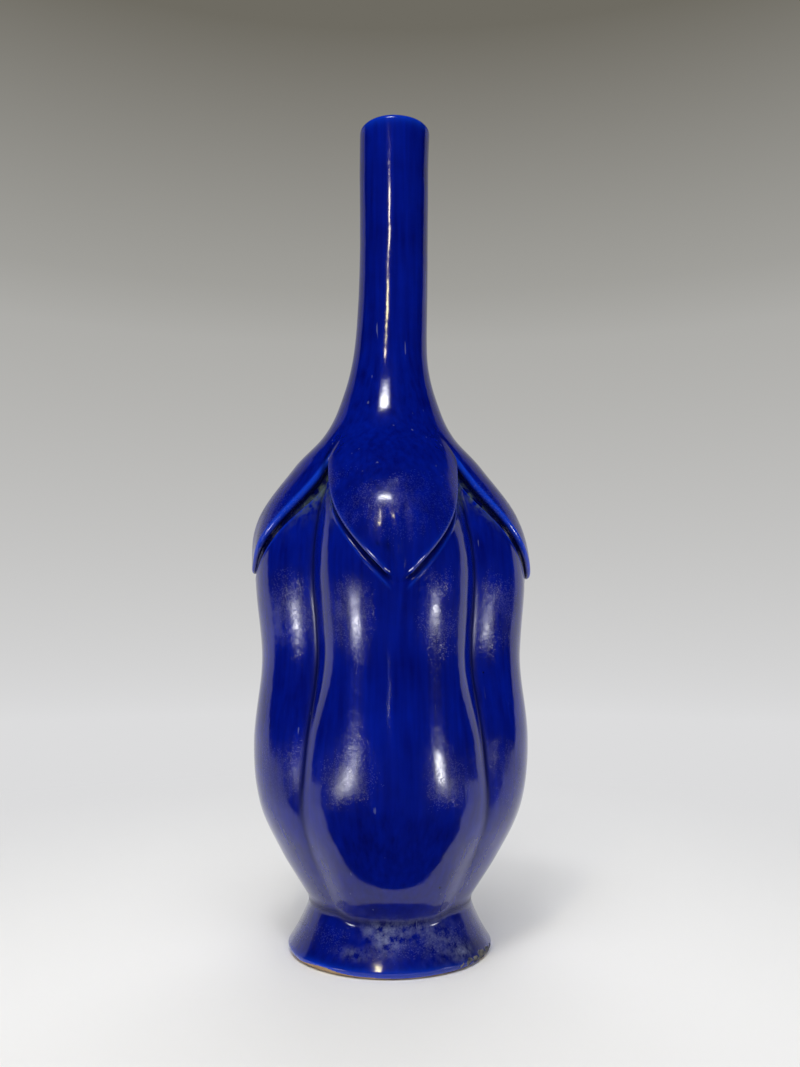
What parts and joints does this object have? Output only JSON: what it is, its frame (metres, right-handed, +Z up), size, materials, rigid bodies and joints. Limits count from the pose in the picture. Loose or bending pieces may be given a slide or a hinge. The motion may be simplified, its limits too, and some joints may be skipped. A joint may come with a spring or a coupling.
{
  "type": "long-neck vase",
  "caption": "Glazed ceramic bottle vase: slender neck, leaf calyx on the shoulder, lobed waisted body and a flared foot; holds a stem or two of flowers.",
  "frame": {"origin": "centre of the circle that the foot stands on, in the standing plane", "axes": "+Z up along the vase's axis to the mouth; -Y towards the viewer, through the crest of the front lobe; +X to the right, through the crest of the right lobe"},
  "size_m": [0.0858, 0.0858, 0.25],
  "materials": {
    "cobalt_glaze": "glossy cobalt-blue glaze over buff clay, pooled dark in the grooves, thin on the edges",
    "buff_clay": "matt unglazed buff clay",
    "grey_slip": "matt fired slip inside the joints"
  },
  "bodies": {
    "root": {"foot_ring": "cobalt_glaze", "base_disc": "buff_clay", "lower_body": "cobalt_glaze", "upper_body": "cobalt_glaze", "calyx": "cobalt_glaze", "neck": "cobalt_glaze", "floor_slip": "grey_slip", "foot_slip": "grey_slip", "waist_slip": "grey_slip", "collar_slip": "grey_slip", "neck_slip": "grey_slip"}
  },
  "joints": []
}
